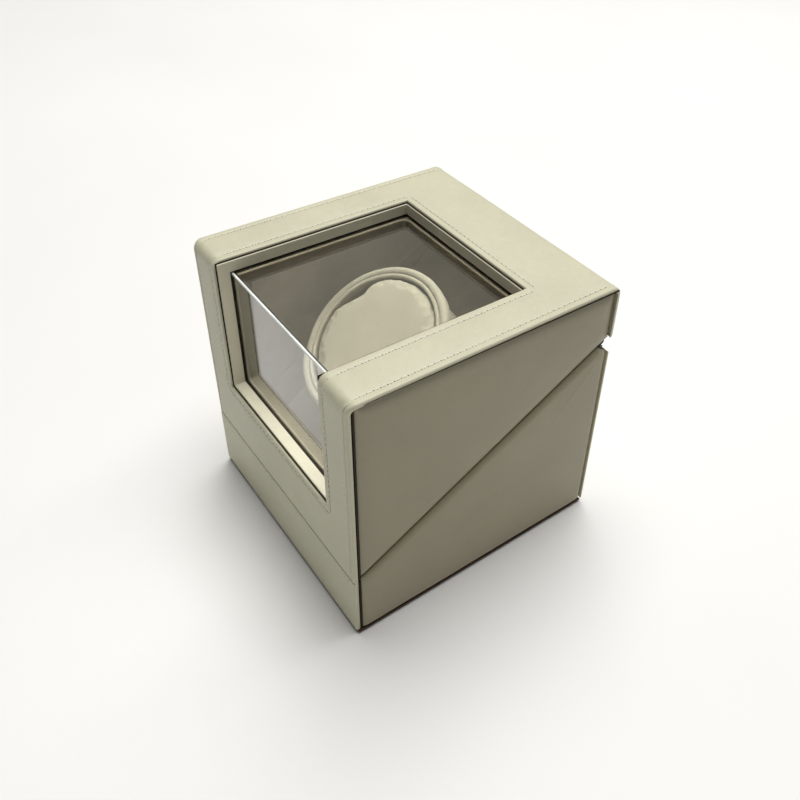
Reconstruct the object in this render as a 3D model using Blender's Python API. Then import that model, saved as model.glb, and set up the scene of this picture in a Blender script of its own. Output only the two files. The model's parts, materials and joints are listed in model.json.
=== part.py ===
"""Watch winder box: a leather-covered cube that splits on a slant, with a corner window in its lid
and one motor-driven watch drum on a sloping deck inside.

Lengths are in millimetres until a mesh is made. The frame has X to the right, Y to the rear and Z up,
with its origin under the middle of the box, on the surface that it stands on.
"""

import math

import bmesh
import bpy
from mathutils import Matrix, Vector

MM = 0.001
GAP = 0.3  # between two pieces that touch

# Outside of the box
HALF_WIDTH = 87.5
HALF_DEPTH = 89.5
HEIGHT = 180.0
CORNER_RADIUS = 6.0

# The slanted split between base and lid
SPLIT_FRONT_HEIGHT = 46.4
SPLIT_SLOPE = math.tan(math.radians(28.5))
SPLIT_GAP = 0.4  # each side of the split plane

# Wall build-up, measured in from the outside
FRONT_SKIN = 3.0
TOP_SKIN = 1.8
REAR_SKIN = 1.2
SIDE_PANEL = 3.5
BOARD_FRONT = -HALF_DEPTH + FRONT_SKIN + GAP
BOARD_REAR = HALF_DEPTH - REAR_SKIN - GAP
BOARD_TOP = HEIGHT - TOP_SKIN - GAP
BOARD_SIDE = HALF_WIDTH - 0.2 - SIDE_PANEL - GAP
CAVITY_FRONT = -80.0
CAVITY_REAR = 76.8
CAVITY_SIDE = 74.2
CAVITY_TOP = 170.3
LINING = 2.2
SKIN_EDGE = 85.2  # half width of the front skins
FLOOR_BOTTOM = 1.4
FLOOR_LIP = 2.4  # top of the board's edge, which the walls stand on
FLOOR_TOP = 5.5  # top of its middle, which fits inside the walls
SHELL_BOTTOM = FLOOR_LIP + GAP

# Corner window through the lid's front and top
WINDOW_SIDE = 56.9
WINDOW_REAR = 41.0
WINDOW_SILL = 88.4
LINER = 1.0
REBATE = 6.0  # how far the pane reaches behind the boards
PANE = 2.6
FRAME_DEPTH = 8.2

# Sloping deck and the drum that stands on it
DECK_TILT = math.radians(36.5)
DRUM_Y = 14.5
DRUM_Z = 84.6
DECK_THICK = 4.0
RING_OUTER = 48.7
RING_TOP = 60.8
CUSHION_RADIUS = 40.4
CUP_RADIUS = 44.0
CUP_WALL = 2.5
CUP_FLOOR = 8.0
CUP_RIM = 50.0
SPINDLE = 3.0
GEAR_MODULE = 1.0
DRUM_TEETH = 60
PINION_TEETH = 12
GEAR_TOP = -9.0
GEAR_WIDTH = 6.0
PLATE_TOP = -23.5
PLATE_THICK = 2.5
MOTOR_B = -(DRUM_TEETH + PINION_TEETH) / 2 * GEAR_MODULE - GAP
POSTS = [(-34, 22), (34, 22), (-34, -50), (34, -50)]

# Hinges in the notch at the top of the base's rear wall
NOTCH_START = 80.3
NOTCH_SLOPE = -0.716
PIN_Y = 85.8
PIN_Z = 138.3
PIN_RADIUS = 0.9
KNUCKLE_RADIUS = 2.3
LEAF_LENGTH = 42.0
LEAF_THICK = 0.8
LEAF_REACH = 3.9
HINGE_X = 61.0
LID_KNUCKLE = 8.5  # half length of the lid leaf's knuckle

# Control bay in the base's rear wall
BAY_SIDE = 34.0
BAY_LOW = 18.0
BAY_HIGH = 52.0
BAY_MID = (BAY_LOW + BAY_HIGH) / 2
PLATE_FRONT_Y = 80.0
PLATE_REAR_Y = 82.4
BOARD_Y = 64.0
KNOB_X = -18.0
SLIDER_X = 2.0
JACK_X = 22.0

FOOT_SPREAD = 70.0


def split(y):
    """Height of the split plane at y."""
    return SPLIT_FRONT_HEIGHT + (y + HALF_DEPTH) * SPLIT_SLOPE


def lid_edge(y):
    return split(y) + SPLIT_GAP


def base_edge(y):
    """Top of the base's walls at y: the split plane, cut down behind by the hinge notch."""
    level = split(min(y, NOTCH_START)) - SPLIT_GAP
    return level + max(0.0, y - NOTCH_START) * NOTCH_SLOPE


def deck_top(y):
    return DRUM_Z + (y - DRUM_Y) * math.tan(DECK_TILT)


# ---------------------------------------------------------------- tools


def material(name, colour, roughness, metallic=0.0, alpha=1.0):
    made = bpy.data.materials.new(name)
    made.use_nodes = True
    shader = made.node_tree.nodes["Principled BSDF"]
    shader.inputs["Base Color"].default_value = (*colour, 1.0)
    shader.inputs["Roughness"].default_value = roughness
    shader.inputs["Metallic"].default_value = metallic
    shader.inputs["Alpha"].default_value = alpha
    made.diffuse_color = (*colour, alpha)
    return made


def finish(name, bm, look, place=Matrix.Identity(4), smooth=False):
    """Turns a bmesh in millimetres into a named object that stands at place."""
    bmesh.ops.remove_doubles(bm, verts=bm.verts, dist=1e-4)
    bmesh.ops.recalc_face_normals(bm, faces=bm.faces)
    bmesh.ops.scale(bm, vec=(MM, MM, MM), verts=bm.verts)
    mesh = bpy.data.meshes.new(name)
    bm.to_mesh(mesh)
    bm.free()
    if smooth:
        mesh.shade_smooth()
        mesh.set_sharp_from_angle(angle=math.radians(35))
    obj = bpy.data.objects.new(name, mesh)
    where = place.copy()
    where.translation = place.translation * MM
    obj.matrix_world = where
    if look:
        mesh.materials.append(look)
    bpy.context.scene.collection.objects.link(obj)
    return obj


def block(name, low, high, look, place=Matrix.Identity(4)):
    bm = bmesh.new()
    size = Vector(high) - Vector(low)
    middle = (Vector(high) + Vector(low)) / 2
    bmesh.ops.create_cube(bm, size=1.0, matrix=Matrix.Translation(middle) @ Matrix.Diagonal((*size, 1.0)))
    return finish(name, bm, look, place)


def prism(name, outline, start, end, look, place=Matrix.Identity(4), smooth=False):
    """Pushes a flat outline of (first, second) points along the third local axis, from start to end."""
    bm = bmesh.new()
    face = bm.faces.new([bm.verts.new((u, v, start)) for u, v in outline])
    grown = bmesh.ops.extrude_face_region(bm, geom=[face])["geom"]
    moved = [g for g in grown if isinstance(g, bmesh.types.BMVert)]
    bmesh.ops.translate(bm, vec=(0, 0, end - start), verts=moved)
    return finish(name, bm, look, place, smooth)


# A prism whose outline is in Y and Z, and which runs along X
ACROSS = Matrix(((0, 0, 1, 0), (1, 0, 0, 0), (0, 1, 0, 0), (0, 0, 0, 1)))
# The drum's own axes: across, up the deck, and out of the deck
DRUM = Matrix.Translation((0, DRUM_Y, DRUM_Z)) @ Matrix.Rotation(DECK_TILT, 4, "X")
# The rear wall's own axes: X, up, and out of the wall
REARWARD = Matrix(((1, 0, 0, 0), (0, 0, 1, 0), (0, 1, 0, 0), (0, 0, 0, 1)))


def turned(name, profile, look, place, steps=48):
    """Spins a closed (radius, height) profile about the local Z axis."""
    bm = bmesh.new()
    points = [bm.verts.new((r, 0, h)) for r, h in profile]
    edges = [bm.edges.new((a, b)) for a, b in zip(points, points[1:] + points[:1])]
    on_axis = [e for e in edges if max(abs(v.co.x) for v in e.verts) < 1e-6]
    for edge in on_axis:
        bm.edges.remove(edge)
    kept = [e for e in edges if e not in on_axis]
    bmesh.ops.spin(
        bm, geom=points + kept, cent=(0, 0, 0), axis=(0, 0, 1), angle=math.tau, steps=steps, use_merge=True
    )
    return finish(name, bm, look, place, smooth=True)


def rod(name, radius, low, high, look, place, steps=24):
    return turned(name, [(0, low), (radius, low), (radius, high), (0, high)], look, place, steps)


def tube(name, inner, outer, low, high, look, place, steps=32):
    return turned(name, [(inner, low), (outer, low), (outer, high), (inner, high)], look, place, steps)


def boolean(target, tool, operation="DIFFERENCE"):
    """Cuts or joins with a tool that stays in the scene as a guide only."""
    change = target.modifiers.new(tool.name, "BOOLEAN")
    change.operation = operation
    change.object = tool
    tool.hide_render = True
    tool.display_type = "WIRE"


def bevel(obj, width, segments=2):
    change = obj.modifiers.new("edge", "BEVEL")
    change.width = width * MM
    change.segments = segments
    change.limit_method = "ANGLE"
    change.angle_limit = math.radians(40)


def rounded(points, radii, steps=4):
    """The outline with its corners turned into arcs of the given radii, 0 for a sharp one."""
    out = []
    count = len(points)
    for i, radius in enumerate(radii):
        corner = Vector(points[i])
        if not radius:
            out.append(corner)
            continue
        back = (Vector(points[i - 1]) - corner).normalized()
        ahead = (Vector(points[(i + 1) % count]) - corner).normalized()
        half = back.angle(ahead) / 2
        centre = corner + (back + ahead).normalized() * radius / math.sin(half)
        start = corner + back * radius / math.tan(half) - centre
        end = corner + ahead * radius / math.tan(half) - centre
        turn = start.angle_signed(end)
        for k in range(steps + 1):
            angle = -turn * k / steps
            out.append(centre + Matrix.Rotation(angle, 2) @ start)
    return [tuple(p) for p in out]


def along(point, direction):
    """Axes with their origin at the point and local Z along the direction."""
    return Matrix.Translation(point) @ Vector(direction).to_track_quat("Z", "Y").to_matrix().to_4x4()


for old in list(bpy.data.objects):
    bpy.data.objects.remove(old)

LEATHER = material("leather", (0.62, 0.58, 0.45), 0.5)
LINER_LEATHER = material("liner_leather", (0.55, 0.51, 0.38), 0.5)
SUEDE = material("suede", (0.24, 0.22, 0.17), 0.95)
DARK_SUEDE = material("dark_suede", (0.07, 0.055, 0.04), 0.95)
VELVET = material("velvet", (0.68, 0.64, 0.5), 0.85)
FIBREBOARD = material("fibreboard", (0.35, 0.24, 0.14), 0.9)
DARK_BOARD = material("dark_board", (0.07, 0.045, 0.03), 0.8)
ACRYLIC = material("acrylic", (0.75, 0.74, 0.72), 0.03, alpha=0.3)
RUBBER = material("rubber", (0.03, 0.03, 0.03), 0.8)
BLACK_PLASTIC = material("black_plastic", (0.03, 0.03, 0.03), 0.4)
WHITE_PLASTIC = material("white_plastic", (0.75, 0.74, 0.7), 0.4)
BLACK_STEEL = material("black_steel", (0.02, 0.02, 0.02), 0.4, 1.0)
STEEL = material("steel", (0.6, 0.6, 0.6), 0.3, 1.0)
BRASS = material("brass", (0.7, 0.55, 0.25), 0.35, 1.0)
CIRCUIT = material("circuit", (0.05, 0.22, 0.09), 0.5)

# ---------------------------------------------------------------- shells


def shell_walls(name, outer, low, high, look, side, thickness, floor, ceiling):
    """A prism of the outer Y-Z outline with its inside taken out between the floor and ceiling heights."""
    walls = prism(name, outer, -side, side, look, ACROSS)
    hollow = block(
        name + "_hollow",
        (-side + thickness, low, floor),
        (side - thickness, high, ceiling),
        None,
    )
    boolean(walls, hollow)
    return walls


def window_cutter(name, side, rear, sill):
    return block(name, (-side, -HALF_DEPTH - 20, sill), (side, rear, HEIGHT + 20), None)


def make_base_shell():
    outline = [
        (BOARD_FRONT, SHELL_BOTTOM),
        (BOARD_FRONT, base_edge(BOARD_FRONT)),
        (NOTCH_START, base_edge(NOTCH_START)),
        (BOARD_REAR, base_edge(BOARD_REAR)),
        (BOARD_REAR, SHELL_BOTTOM),
    ]
    thickness = BOARD_SIDE - CAVITY_SIDE
    carcass = shell_walls(
        "base_carcass", outline, CAVITY_FRONT, CAVITY_REAR, FIBREBOARD, BOARD_SIDE, thickness, -10, HEIGHT + 10
    )
    side = CAVITY_SIDE - 0.2
    inner_front, inner_rear = CAVITY_FRONT + GAP, CAVITY_REAR - GAP
    outline = [
        (inner_front, SHELL_BOTTOM),
        (inner_front, base_edge(inner_front)),
        (inner_rear, base_edge(inner_rear)),
        (inner_rear, SHELL_BOTTOM),
    ]
    lining = shell_walls(
        "base_lining", outline, inner_front + LINING, inner_rear - LINING, SUEDE, side, LINING, -10, HEIGHT + 10
    )
    front, front_in = -HALF_DEPTH, -HALF_DEPTH + FRONT_SKIN
    outline = [
        (front, SHELL_BOTTOM),
        (front, base_edge(front)),
        (front_in, base_edge(front_in)),
        (front_in, SHELL_BOTTOM),
    ]
    outline = rounded(outline, [1.5, 0.8, 0, 0])
    prism("base_front_skin", outline, -SKIN_EDGE, SKIN_EDGE, LEATHER, ACROSS)
    rear, rear_in = HALF_DEPTH, HALF_DEPTH - REAR_SKIN
    outline = [
        (rear_in, SHELL_BOTTOM),
        (rear_in, base_edge(rear_in)),
        (rear, base_edge(rear)),
        (rear, SHELL_BOTTOM),
    ]
    rear_skin = prism("base_rear_skin", outline, -HALF_WIDTH, HALF_WIDTH, LEATHER, ACROSS)
    for wall in (carcass, lining, rear_skin):
        bay = block(wall.name + "_bay", (-BAY_SIDE, 70, BAY_LOW), (BAY_SIDE, 100, BAY_HIGH), None)
        boolean(wall, bay)
    low, high = BOARD_FRONT + 0.2, BOARD_REAR - 0.1
    outline = [
        (low, SHELL_BOTTOM),
        (low, base_edge(low) - 0.2),
        (NOTCH_START, base_edge(NOTCH_START) - 0.2),
        (high, base_edge(high) - 0.2),
        (high, SHELL_BOTTOM),
    ]
    make_side_panels("base", outline)
    floor = block("bottom_board", (-86.2, -88.3, FLOOR_BOTTOM), (86.2, 88.2, FLOOR_LIP), DARK_BOARD)
    inside = side - LINING - GAP
    middle = block(
        "bottom_board_middle",
        (-inside, inner_front + LINING + GAP, FLOOR_BOTTOM + 0.2),
        (inside, inner_rear - LINING - GAP, FLOOR_TOP),
        None,
    )
    boolean(floor, middle, "UNION")
    for number, (sx, sy) in enumerate([(-1, -1), (1, -1), (-1, 1), (1, 1)], 1):
        spot = Matrix.Translation((sx * FOOT_SPREAD, sy * FOOT_SPREAD, 0))
        profile = [(0, 0), (6.2, 0), (7.0, 0.8), (7.0, FLOOR_BOTTOM - GAP), (0, FLOOR_BOTTOM - GAP)]
        turned(f"foot_{number}", profile, RUBBER, spot, 24)
    return carcass


def make_side_panels(body, outline):
    """The padded boards that cover both sides of a shell."""
    inner, outer = BOARD_SIDE + GAP, HALF_WIDTH - 0.2
    for side, start, end in (("left", -inner, -outer), ("right", inner, outer)):
        panel = prism(f"{body}_side_panel_{side}", outline, start, end, LEATHER, ACROSS)
        bevel(panel, 1.0)


def make_lid_shell():
    outline = [
        (BOARD_FRONT, lid_edge(BOARD_FRONT)),
        (BOARD_FRONT, BOARD_TOP),
        (BOARD_REAR, BOARD_TOP),
        (BOARD_REAR, lid_edge(BOARD_REAR)),
    ]
    thickness = BOARD_SIDE - CAVITY_SIDE
    carcass = shell_walls(
        "lid_carcass", outline, CAVITY_FRONT, CAVITY_REAR, FIBREBOARD, BOARD_SIDE, thickness, -10, CAVITY_TOP
    )
    side = CAVITY_SIDE - 0.2
    inner_front, inner_rear, inner_top = CAVITY_FRONT + GAP, CAVITY_REAR - GAP, CAVITY_TOP - GAP
    outline = [
        (inner_front, lid_edge(inner_front)),
        (inner_front, inner_top),
        (inner_rear, inner_top),
        (inner_rear, lid_edge(inner_rear)),
    ]
    low, high = inner_front + LINING, inner_rear - LINING
    lining = shell_walls("lid_lining", outline, low, high, SUEDE, side, LINING, -10, inner_top - LINING)
    reach = WINDOW_SIDE + REBATE + GAP
    rear, sill = WINDOW_REAR + REBATE + GAP, WINDOW_SILL - REBATE - GAP
    boolean(lining, window_cutter("lid_lining_window", reach, rear, sill))
    front, rear = -HALF_DEPTH, HALF_DEPTH
    front_in, rear_in, top_in = front + FRONT_SKIN, rear - REAR_SKIN, HEIGHT - TOP_SKIN
    outline = rounded(
        [
            (front, lid_edge(front)),
            (front, HEIGHT),
            (rear, HEIGHT),
            (rear, lid_edge(rear)),
            (rear_in, lid_edge(rear_in)),
            (rear_in, top_in),
            (front_in, top_in),
            (front_in, lid_edge(front_in)),
        ],
        [0.8, CORNER_RADIUS, CORNER_RADIUS, 0, 0, 0, 0, 0],
        6,
    )
    skin = prism("lid_skin", outline, -HALF_WIDTH, HALF_WIDTH, LEATHER, ACROSS)
    for side_name, low, high in (("left", -HALF_WIDTH - 5, -SKIN_EDGE), ("right", SKIN_EDGE, HALF_WIDTH + 5)):
        trim = block(f"skin_trim_{side_name}", (low, front - 5, 0), (high, BOARD_FRONT, top_in), None)
        boolean(skin, trim)
    opening = WINDOW_SIDE + LINER + 0.2
    for wall in (carcass, skin):
        cutter = window_cutter(
            wall.name + "_window", opening, WINDOW_REAR + LINER + 0.2, WINDOW_SILL - LINER - 0.2
        )
        boolean(wall, cutter)
    low, high = BOARD_FRONT + 0.2, BOARD_REAR - 0.1
    outline = [(low, lid_edge(low) + 0.2), (low, BOARD_TOP), (high, BOARD_TOP), (high, lid_edge(high) + 0.2)]
    make_side_panels("lid", outline)
    return carcass


def corner_band(name, outer, depth, rear, sill, half, look):
    """A band that follows the window's front and top: outer is how far its outside lies in from the box's."""
    front, top = -HALF_DEPTH + outer, HEIGHT - outer
    outline = [
        (front, sill),
        (front, top),
        (rear, top),
        (rear, top - depth),
        (front + depth, top - depth),
        (front + depth, sill),
    ]
    return prism(name, outline, -half, half, look, ACROSS)


def make_window():
    depth_in = HALF_DEPTH + CAVITY_FRONT  # skin and board together
    rear, sill, half = WINDOW_REAR + LINER, WINDOW_SILL - LINER, WINDOW_SIDE + LINER
    liner = corner_band("window_liner", 0.4, depth_in - 0.3, rear, sill, half, LINER_LEATHER)
    boolean(liner, window_cutter("liner_window", WINDOW_SIDE, WINDOW_REAR, WINDOW_SILL))
    rear, sill, half = WINDOW_REAR + REBATE, WINDOW_SILL - REBATE, WINDOW_SIDE + REBATE
    corner_band("window_pane", depth_in + 0.5, PANE, rear, sill, half, ACRYLIC)
    frame = corner_band("window_frame", depth_in + 0.8 + PANE, FRAME_DEPTH, rear, sill, half, DARK_SUEDE)
    boolean(frame, window_cutter("frame_window", WINDOW_SIDE, WINDOW_REAR, WINDOW_SILL))


# ---------------------------------------------------------------- hinges


def hinge_axes(shell):
    """Axes on a hinge pin: X along the pin, local Y to the rear along the shell's edge, local Z out of it."""
    if shell == "base":
        rearward = Vector((0, 1, NOTCH_SLOPE)).normalized()
        out = Vector((0, -NOTCH_SLOPE, 1)).normalized()
        edge = Vector((0, PIN_Y, base_edge(PIN_Y)))
    else:
        rearward = Vector((0, 1, SPLIT_SLOPE)).normalized()
        out = Vector((0, SPLIT_SLOPE, -1)).normalized()
        edge = Vector((0, PIN_Y, lid_edge(PIN_Y)))
    distance = (Vector((0, PIN_Y, PIN_Z)) - edge).dot(out)
    axes = Matrix((rearward.cross(out), rearward, out)).transposed().to_4x4()
    axes.translation = (0, PIN_Y, PIN_Z)
    return axes, distance


def make_hinges(carcasses):
    pin_axes = along((0, PIN_Y, PIN_Z), (1, 0, 0))
    half = LEAF_LENGTH / 2
    free = LID_KNUCKLE + GAP
    spans = {"base": [(-half, -free), (free, half)], "lid": [(-LID_KNUCKLE, LID_KNUCKLE)]}
    for side, centre in (("left", -HINGE_X), ("right", HINGE_X)):
        shift = Matrix.Translation((centre, 0, 0))
        rod(f"hinge_{side}_pin", PIN_RADIUS, -half, half, BLACK_STEEL, shift @ pin_axes, 16)
        for shell in ("base", "lid"):
            axes, distance = hinge_axes(shell)
            place = shift @ axes
            name = f"hinge_{side}_{shell}_leaf"
            low = GAP - distance
            leaf = block(name, (-half, 1.5, low), (half, LEAF_REACH, low + LEAF_THICK), BLACK_STEEL, place)
            for number, (start, end) in enumerate(spans[shell]):
                web = block(f"{name}_web_{number}", (start, -0.6, low), (end, 1.8, -1.4), None, place)
                boolean(leaf, web, "UNION")
                roll = rod(f"{name}_roll_{number}", KNUCKLE_RADIUS, start, end, None, shift @ pin_axes, 20)
                boolean(leaf, roll, "UNION")
            bore = rod(f"{name}_bore", PIN_RADIUS + 0.2, -half - 1, half + 1, None, shift @ pin_axes, 16)
            boolean(leaf, bore)
            for number, offset in enumerate((-15, 15), 1):
                spot = place @ Matrix.Translation((offset, 2.7, 0))
                boolean(leaf, rod(f"{name}_hole_{number}", 1.0, -distance - 1, 0, None, spot, 16))
                profile = [
                    (0, -distance - 7),
                    (0.55, -distance - 6.4),
                    (0.55, low),
                    (0.8, low + 0.2),
                    (0.8, low + LEAF_THICK),
                    (0, low + LEAF_THICK),
                ]
                turned(f"hinge_{side}_{shell}_screw_{number}", profile, BLACK_STEEL, spot, 12)
                hole = rod(f"{name}_pilot_{number}", 0.85, -distance - 8, -distance + 1, None, spot, 12)
                boolean(carcasses[shell], hole)


# ---------------------------------------------------------------- deck and drum


def gear_outline(teeth):
    """Straight-sided teeth, thinned a little so that they run free in mesh."""
    points = []
    pitch = GEAR_MODULE * teeth / 2
    for tooth in range(teeth):
        for share, height in ((-0.235, -1.15), (-0.115, 0.85), (0.115, 0.85), (0.235, -1.15)):
            angle = math.tau * (tooth + share) / teeth
            radius = pitch + height * GEAR_MODULE
            points.append((radius * math.cos(angle), radius * math.sin(angle)))
    return points


def cushion_outline():
    """A round pillow with a slanting nick in two sides, where a watch strap goes round it."""
    half = [(-39.9, 0.2), (-36.2, 7.4), (-32.8, 13.8), (-31.9, 20.4), (-31.2, 25.3)]
    for degrees in range(132, 5, -9):
        angle = math.radians(degrees)
        half.append((CUSHION_RADIUS * math.cos(angle), CUSHION_RADIUS * math.sin(angle)))
    return half + [(-u, -v) for u, v in half]


def make_drum():
    deck_low = -77.1
    deck_high = 73.9
    drop = DECK_THICK / math.cos(DECK_TILT)
    outline = [
        (deck_low, deck_top(deck_low)),
        (deck_high, deck_top(deck_high)),
        (deck_high, deck_top(deck_high) - drop),
        (deck_low, deck_top(deck_low) - drop),
    ]
    deck = prism("deck_panel", outline, -71.4, 71.4, SUEDE, ACROSS)
    boolean(deck, rod("deck_bore", 6.3, -20, 20, None, DRUM, 32))
    bore = SPINDLE + 0.2
    bush = [(bore, -DECK_THICK), (6.0, -DECK_THICK), (6.0, GAP), (9.0, GAP), (9.0, 1.6), (bore, 1.6)]
    turned("deck_bush", bush, BRASS, DRUM, 32)

    rim, wall = CUP_RADIUS, CUP_WALL
    cup = [
        (0, CUP_FLOOR),
        (rim - 2, CUP_FLOOR),
        (rim, CUP_FLOOR + 2),
        (rim, CUP_RIM),
        (rim - wall, CUP_RIM),
        (rim - wall, CUP_FLOOR + 2.5),
        (0, CUP_FLOOR + 2.5),
    ]
    turned("drum_cup", cup, VELVET, DRUM)
    ring = [(41.6, CUP_RIM + GAP), (46.0, CUP_RIM + GAP), (RING_OUTER, CUP_RIM + 4)]
    rolls = [
        (RING_OUTER - 2.6, RING_TOP - 2.6, 2.6, range(0, 151, 30)),
        (42.5, RING_TOP - 1.5, 1.3, range(30, 181, 50)),
    ]
    for middle, level, radius, turns in rolls:
        for degrees in turns:
            angle = math.radians(degrees)
            ring.append((middle + radius * math.cos(angle), level + radius * math.sin(angle)))
    turned("velvet_ring", ring, VELVET, DRUM)
    pillow = prism("watch_cushion", cushion_outline(), CUP_FLOOR + 3.2, RING_TOP - 0.5, VELVET, DRUM)
    bevel(pillow, 2.5, 3)

    spindle = [
        (0, -29),
        (SPINDLE, -29),
        (SPINDLE, CUP_FLOOR - 2.5),
        (12, CUP_FLOOR - 2.5),
        (12, CUP_FLOOR - GAP),
        (0, CUP_FLOOR - GAP),
    ]
    turned("drum_spindle", spindle, STEEL, DRUM, 24)
    gear = prism("drum_gear", gear_outline(DRUM_TEETH), GEAR_TOP - GEAR_WIDTH, GEAR_TOP, WHITE_PLASTIC, DRUM)
    boolean(gear, rod("gear_bore", SPINDLE + 0.2, -40, 0, None, DRUM, 24))
    clip = tube("spindle_clip", SPINDLE + 0.2, 5.5, -28.4, -27.6, STEEL, DRUM, 24)
    boolean(clip, block("clip_slot", (-1.6, 0, -30), (1.6, 10, -26), None, DRUM))

    motor = DRUM @ Matrix.Translation((0, MOTOR_B, 0))
    half_tooth = math.pi / PINION_TEETH
    # the drum gear has a tooth on -b when its count divides by four, so the pinion meets it with a space
    meshed = motor @ Matrix.Rotation(math.pi / 2 + half_tooth, 4, "Z")
    pinion = prism("motor_pinion", gear_outline(PINION_TEETH), GEAR_TOP - GEAR_WIDTH, GEAR_TOP, BRASS, meshed)
    shaft = rod("motor_shaft", 2.0, PLATE_TOP + 0.9, GEAR_TOP - 2, None, motor, 16)
    boolean(pinion, shaft, "UNION")
    under = PLATE_TOP - PLATE_THICK - GAP
    body = [
        (0, under - 27),
        (10.5, under - 27),
        (12, under - 25.5),
        (12, under - 9),
        (15.5, under - 9),
        (15.5, under),
        (4, under),
        (4, PLATE_TOP),
        (0, PLATE_TOP),
    ]
    gearmotor = turned("gearmotor", body, STEEL, motor, 32)
    plate = block(
        "drive_bracket", (-39, -56, PLATE_TOP - PLATE_THICK), (39, 28, PLATE_TOP), STEEL, DRUM
    )
    bevel(plate, 0.4, 1)
    for number, (a, b) in enumerate(POSTS, 1):
        spot = DRUM @ Matrix.Translation((a, b, 0))
        boolean(plate, rod(f"post_{number}", 4.0, PLATE_TOP - 1, -DECK_THICK - GAP, None, spot, 16), "UNION")
    for number, (a, b) in enumerate(POSTS, 1):
        spot = DRUM @ Matrix.Translation((a, b, 0))
        boolean(plate, rod(f"post_bore_{number}", 1.8, -40, 0, None, spot, 12))
        boolean(deck, rod(f"deck_pilot_{number}", 1.8, -6, -1.2, None, spot, 12))
        head = PLATE_TOP - PLATE_THICK - GAP
        profile = [(0, head - 2), (2.4, head - 2), (2.8, head), (1.5, head), (1.5, -1.6), (0, -1.6)]
        turned(f"bracket_screw_{number}", profile, STEEL, spot, 12)
    boolean(plate, rod("bush_bore", 5.3, -40, -20, None, DRUM, 24))
    boolean(plate, rod("motor_bore", 4.4, -40, -20, None, motor, 24))
    low, top = PLATE_TOP - PLATE_THICK, PLATE_TOP + GAP
    bush = [(SPINDLE + 0.2, low), (5.0, low), (5.0, top), (7.0, top), (7.0, top + 1), (SPINDLE + 0.2, top + 1)]
    turned("bracket_bush", bush, BRASS, DRUM, 24)
    for number, a in enumerate((-10, 10), 1):
        spot = motor @ Matrix.Translation((a, 0, 0))
        boolean(plate, rod(f"motor_screw_bore_{number}", 1.6, -40, -20, None, spot, 12))
        boolean(gearmotor, rod(f"motor_pilot_{number}", 1.6, under - 6, under + 5, None, spot, 12))
        head = PLATE_TOP + GAP
        top = head + 1.3
        profile = [(0, under - 5), (1.25, under - 5), (1.25, head), (2.2, head), (2.0, top), (0, top)]
        turned(f"motor_screw_{number}", profile, STEEL, spot, 12)


# ---------------------------------------------------------------- rear controls


def make_controls():
    plate = block(
        "control_plate",
        (-BAY_SIDE + 0.4, PLATE_FRONT_Y, BAY_LOW + 0.4),
        (BAY_SIDE - 0.4, PLATE_REAR_Y, BAY_HIGH - 0.4),
        BLACK_PLASTIC,
    )
    bevel(plate, 0.4, 1)

    def rearward(x, z=BAY_MID):
        return Matrix.Translation((x, 0, z)) @ REARWARD

    boolean(plate, rod("stem_bore", 2.6, 70, 90, None, rearward(KNOB_X), 20))
    low, high = (SLIDER_X - 6.5, 70, BAY_MID - 1.9), (SLIDER_X + 6.5, 90, BAY_MID + 1.9)
    boolean(plate, block("slider_slot", low, high, None))
    boolean(plate, rod("jack_bore", 4.5, 70, 90, None, rearward(JACK_X), 24))

    block("control_circuit", (-30, BOARD_Y, BAY_LOW + 1), (30, BOARD_Y + 1.6, BAY_HIGH - 1), CIRCUIT)
    start = BOARD_Y + 1.6 + GAP
    block("knob_switch", (KNOB_X - 6, start, BAY_MID - 6), (KNOB_X + 6, 75.7, BAY_MID + 6), BLACK_PLASTIC)
    grip = [(0, 76), (2.2, 76), (2.2, 82.9), (7.0, 82.9), (7.0, 84.0), (6.2, 88.2), (5.8, 88.6), (0, 88.6)]
    knob = turned("speed_knob", grip, BLACK_PLASTIC, rearward(KNOB_X), 32)
    mark = block("knob_mark", (KNOB_X - 0.4, 87.9, BAY_MID + 1), (KNOB_X + 0.4, 90, BAY_MID + 8), None)
    boolean(knob, mark)
    block("slide_switch", (SLIDER_X - 8, start, BAY_MID - 3.5), (SLIDER_X + 8, 77, BAY_MID + 3.5), STEEL)
    low, high = (SLIDER_X - 2, 77.3, BAY_MID - 1.6), (SLIDER_X + 2, 85.2, BAY_MID + 1.6)
    slider = block("direction_slider", low, high, WHITE_PLASTIC)
    bevel(slider, 0.3, 1)
    low, high = (JACK_X - 4.6, start, BAY_MID - 5.5), (JACK_X + 4.6, 79.5, BAY_MID + 5)
    jack = block("dc_jack", low, high, BLACK_PLASTIC)
    boolean(jack, rod("jack_collar", 4.2, 70, 83.2, None, rearward(JACK_X), 24), "UNION")
    boolean(jack, tube("jack_socket", 0.9, 2.8, 73, 90, None, rearward(JACK_X), 20))


carcasses = {"base": make_base_shell(), "lid": make_lid_shell()}
make_window()
make_hinges(carcasses)
make_drum()
make_controls()
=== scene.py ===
"""Looks of the watch winder box: leather, suede, velvet, stitching, clear window, light and camera."""

import json
import math

import bmesh
import bpy
from mathutils import Matrix, Vector, noise


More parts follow.
